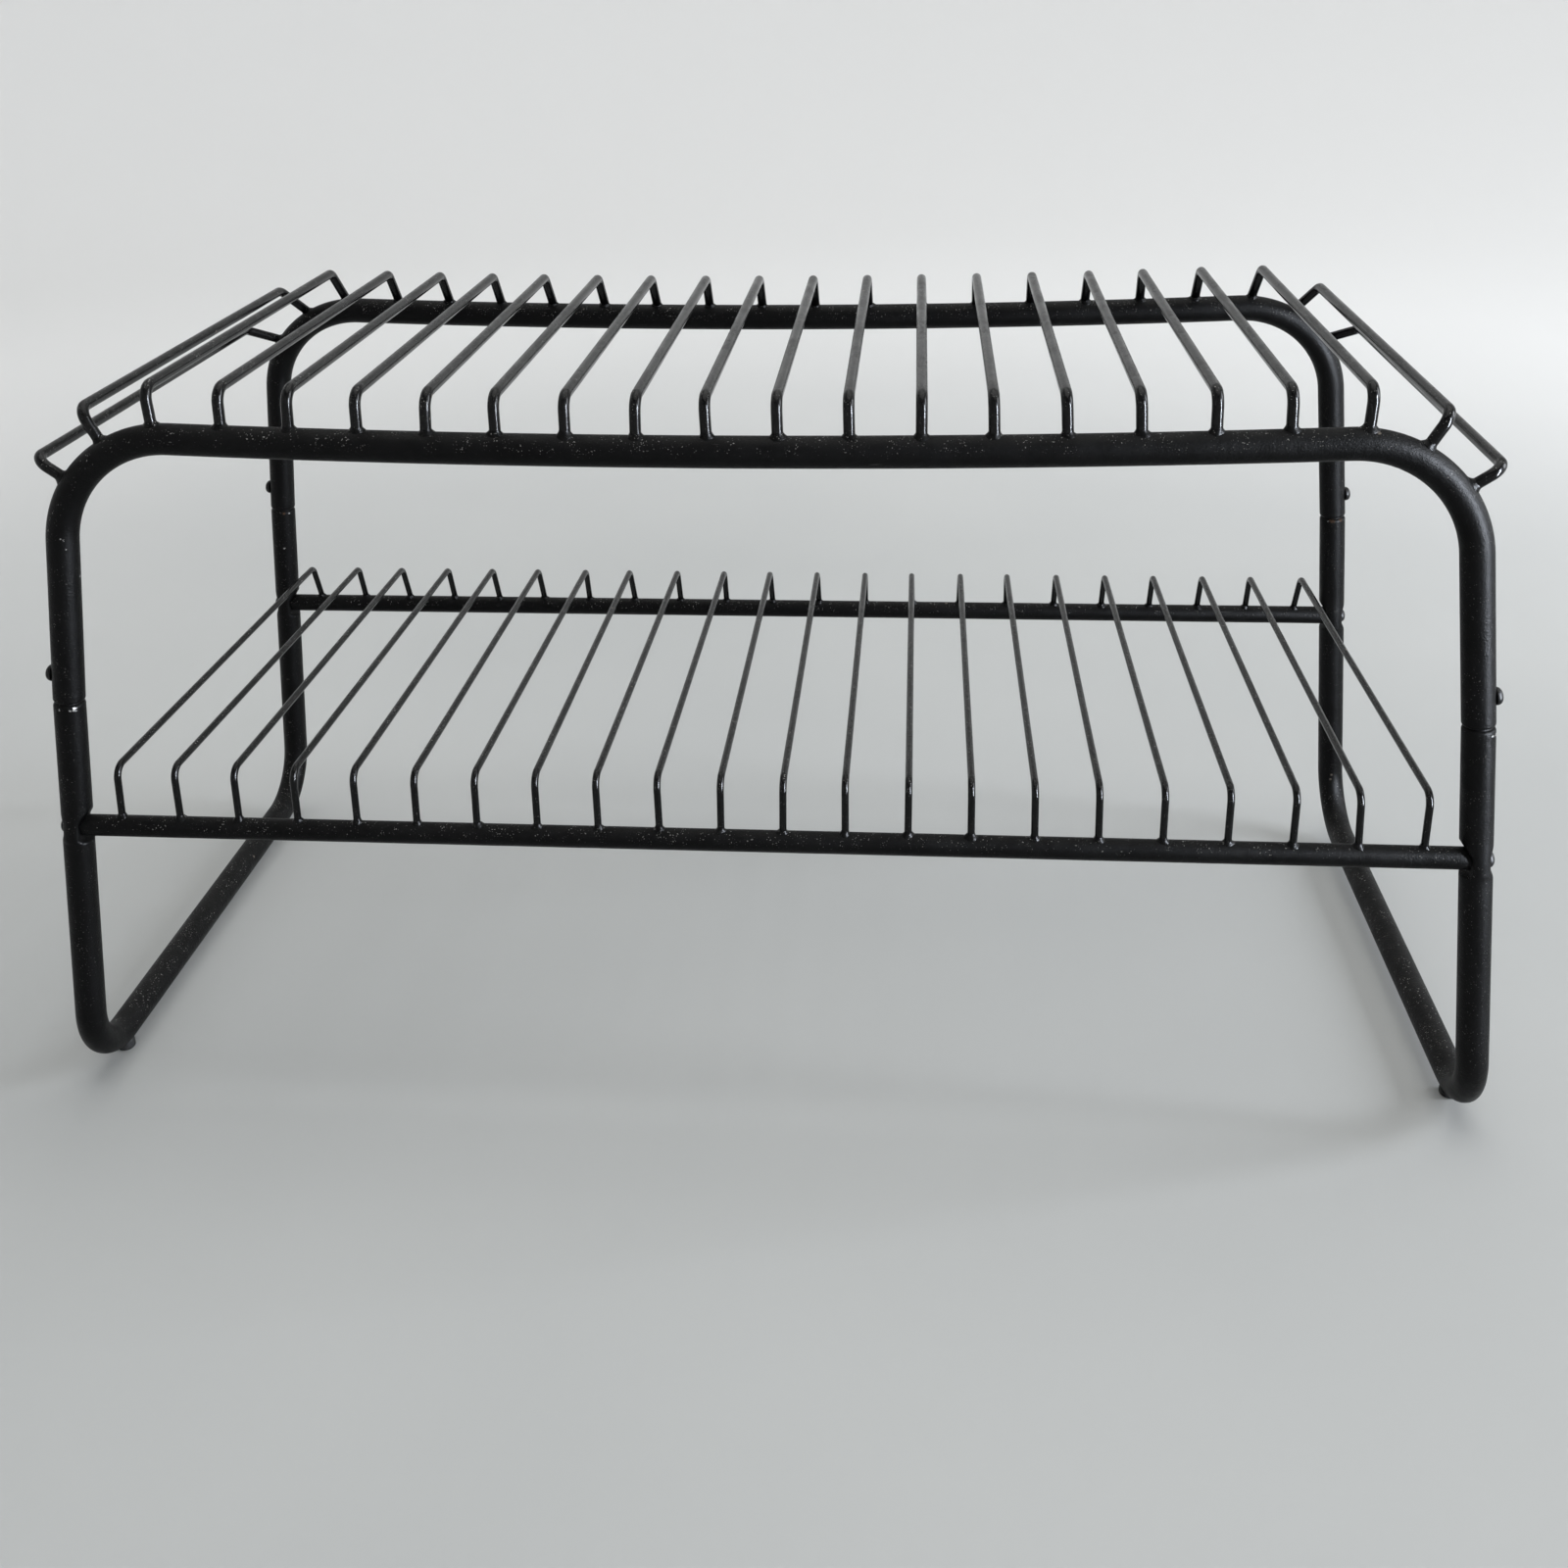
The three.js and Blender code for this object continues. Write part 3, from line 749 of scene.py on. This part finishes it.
def screw_head():
    """Pan head with a domed top, a rounded edge and a cross recess, standing along +Z."""
    profile = [(0.0, -SHANK_LENGTH), (SHANK_R, -SHANK_LENGTH), (SHANK_R, -0.05),
               (SCREW_HEAD_R - 0.5, -0.05), (SCREW_HEAD_R - 0.08, 0.12),
               (SCREW_HEAD_R, 0.45), (SCREW_HEAD_R, HEAD_EDGE_H)]
    for i in range(1, DOME_STEPS):
        a = 0.5 * math.pi * i / DOME_STEPS
        height = HEAD_EDGE_H + (SCREW_HEAD_H - HEAD_EDGE_H) * math.sin(a)
        profile.append((SCREW_HEAD_R * math.cos(a) ** 0.85, height))
    profile.append((0.0, SCREW_HEAD_H))
    head = new_object("screw_blank", *turned(profile, TURNED_SIDES), SCREW_PAINT)
    cutters = [recess_cutter(turn) for turn in (0.0, 0.5 * math.pi)]
    for cutter in cutters:
        cut = head.modifiers.new("cross", "BOOLEAN")
        cut.object, cut.operation, cut.solver = cutter, "DIFFERENCE", "EXACT"
    bpy.context.view_layer.update()
    evaluated = head.evaluated_get(bpy.context.evaluated_depsgraph_get())
    mesh = bpy.data.meshes.new_from_object(evaluated)
    for obj in [head, *cutters]:
        bpy.data.objects.remove(obj)
    mesh.materials.clear()
    mesh.materials.append(SCREW_PAINT)
    mesh.set_sharp_from_angle(angle=SHARP_ANGLE)
    return mesh


SCREW_MESH = screw_head()


def add_screw(name, seat, direction, twist, node):
    mesh = SCREW_MESH.copy()
    turn = Vector(direction).to_track_quat("Z", "Y").to_matrix().to_4x4()
    mesh.transform(Matrix.Translation(Vector(seat) * MM) @ turn @ Matrix.Rotation(twist, 4, "Z"))
    obj = bpy.data.objects.new(name, mesh)
    bpy.context.scene.collection.objects.link(obj)
    return place(obj, node)


for side_name, side_x in (("left", -1), ("right", 1)):
    outward = np.array([float(side_x), 0.0, 0.0])
    for end_name, side_y in (("front", -1), ("back", 1)):
        leg = leg_direction(side_x, side_y)
        direction = unit(outward - leg * (outward @ leg))
        seat = at(LEG_END, side_x, side_y) - leg * SCREW_ABOVE_JOINT
        seat = seat + direction * (TUBE_R - ON_LEG_SUNK)
        node = f"leg_screw_{end_name}_{side_name}"
        add_screw(node + "_head", seat, direction, rng.uniform(0, 1.5), node)
        # The screw that holds the rail has no CAD node.
        seat = leg_axis(RAIL_Z, side_x, side_y) + outward * (TUBE_R - OUTER_DIMPLE - IN_DIMPLE_SUNK)
        name = f"rail_screw_{end_name}_{side_name}_head"
        add_screw(name, seat, outward, rng.uniform(0, 1.5), None)

# ---- feet --------------------------------------------------------------------------------------

# The outline of a foot from the floor up: distance in from its radius, and height.
FOOT_OUTLINE = ((1.6, 0.0), (1.1, 0.05), (0.45, 0.3), (0.1, 0.85), (0.0, 1.6),
                (0.1, 4.6), (0.3, 5.6), (0.6, 6.6))
FOOT_TOP = 7.2
FOOT_DISH_FROM = 5.0  # the outline above this height follows the runner
FOOT_INNER_FROM = 6.0  # above this height it goes on a little into the runner
FOOT_SUNK = 0.5


def foot_mesh(node):
    low, high = (np.array(c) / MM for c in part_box(node))
    centre, radius = (low + high) / 2, (high[0] - low[0]) / 2
    outline = [(radius - inset, height) for inset, height in FOOT_OUTLINE]
    verts, faces = turned([(0.0, 0.0), *outline, (0.0, FOOT_TOP)], TURNED_SIDES)
    # The top is dished to the round runner that it is pressed against.
    above = verts[:, 2] > FOOT_DISH_FROM
    drop = np.sqrt(np.maximum(TUBE_R ** 2 - verts[:, 0] ** 2, 0.0))
    sunk = np.where(verts[above, 2] > FOOT_INNER_FROM, FOOT_SUNK, 0.0)
    verts[above, 2] = FLOOR_CORNER[2] - drop[above] + sunk
    return verts + np.array([centre[0], centre[1], 0.0]), faces


for side_name in ("left", "right"):
    for end_name in ("front", "back"):
        node = f"foot_{end_name}_{side_name}"
        verts, faces = foot_mesh(node)
        place(new_object(node + "_pad", verts, faces, FOOT_RUBBER), node)

# ---- floor, light and camera -------------------------------------------------------------------

FLOOR_FLAT_R = 3000.0
WALL_R = 6000.0
WALL_TOP = 8000.0
RISE_STEPS = 24


def floor_finish():
    """Pale matt floor, grey under the rack and lighter towards the wall."""
    n = Nodes("pale_floor")
    blotches = n.ramp(n.noise(1.4, 3), 0.3, 0.7)
    near = n.mix(blotches, (0.53, 0.54, 0.535), (0.57, 0.578, 0.57))
    away = n.ramp(n.distance_to((0.0, 0.0, 0.0)), 0.6, 2.4)
    n.link(n.mix(away, near, (0.83, 0.83, 0.825)), n.shader["Base Color"])
    n.shader["Roughness"].default_value = 0.9
    n.shader["Specular IOR Level"].default_value = 0.0
    return n.material


def bowl_mesh():
    """Round floor that rolls up into a distant wall on every side, so that no horizon shows."""
    rise = WALL_R - FLOOR_FLAT_R
    bend = 0.5 * np.pi * np.arange(RISE_STEPS + 1) / RISE_STEPS
    radii = np.r_[FLOOR_FLAT_R + rise * np.sin(bend), WALL_R]
    heights = np.r_[rise * (1 - np.cos(bend)), WALL_TOP]
    x, y = circle(radii, FLOOR_SIDES)
    z = np.broadcast_to(heights[:, None], x.shape)
    rings = np.stack([x, y, z], axis=-1).reshape(-1, 3)
    faces = [(0, 1 + j, 1 + (j + 1) % FLOOR_SIDES) for j in range(FLOOR_SIDES)]
    faces += grid_faces(len(radii), FLOOR_SIDES, start=1, flip=True)
    return np.vstack([np.zeros(3), rings]), faces


verts, faces = bowl_mesh()
new_object("floor", verts, faces, floor_finish())

world = bpy.data.worlds.new("soft_sky")
world.use_nodes = True
world.node_tree.nodes["Background"].inputs["Color"].default_value = (0.93, 0.96, 1.0, 1.0)
world.node_tree.nodes["Background"].inputs["Strength"].default_value = 0.13
bpy.context.scene.world = world


def area_light(name, place_at, look_at, size, power, colour):
    """Rectangular lamp that the camera does not see, in metres and watts."""
    data = bpy.data.lights.new(name, "AREA")
    data.shape = "RECTANGLE"
    data.size, data.size_y = size
    data.energy, data.color = power, colour
    obj = bpy.data.objects.new(name, data)
    obj.location = place_at
    look = Vector(look_at) - Vector(place_at)
    obj.rotation_euler = look.to_track_quat("-Z", "Y").to_euler()
    obj.visible_camera = False
    bpy.context.scene.collection.objects.link(obj)
    return obj


area_light("window", (4.4, 0.15, 2.1), (0.0, 0.0, 0.25), (1.6, 2.6), 150, (0.90, 0.94, 1.0))
area_light("ceiling", (0.4, 1.2, 5.5), (0.0, 0.4, 0.0), (6.0, 6.0), 175, (1.0, 1.0, 0.98))
# The strip draws narrow highlights on the paint and does not light the matt surfaces.
strip = area_light("strip", (1.3, -0.85, 0.55), (0.0, -0.2, 0.30), (0.12, 1.1), 95,
                   (0.84, 0.90, 1.0))
strip.visible_diffuse = False

# The camera as fitted to the photo: place in metres, angles in radians.
CAMERA_AT = (0.10214, -1.06400, 0.72358)
YAW, PITCH, ROLL = -0.0875, 0.3073, -0.0219
forward = np.array([math.sin(YAW) * math.cos(PITCH), math.cos(YAW) * math.cos(PITCH),
                    -math.sin(PITCH)])
level = np.array([math.cos(YAW), -math.sin(YAW), 0.0])
upward = np.cross(level, forward)
right = math.cos(ROLL) * level + math.sin(ROLL) * upward
top = -math.sin(ROLL) * level + math.cos(ROLL) * upward
camera_data = bpy.data.cameras.new("camera")
camera_data.sensor_width = 36.0
camera_data.lens = 37.786
camera_data.shift_y = -0.21
camera_data.clip_start, camera_data.clip_end = 0.02, 60.0
camera = bpy.data.objects.new("camera", camera_data)
camera.matrix_world = Matrix((*zip(right, top, -forward, CAMERA_AT), (0.0, 0.0, 0.0, 1.0)))
bpy.context.scene.collection.objects.link(camera)
bpy.context.scene.camera = camera

bpy.context.scene.view_settings.view_transform = "Standard"
bpy.context.scene.view_settings.look = "None"
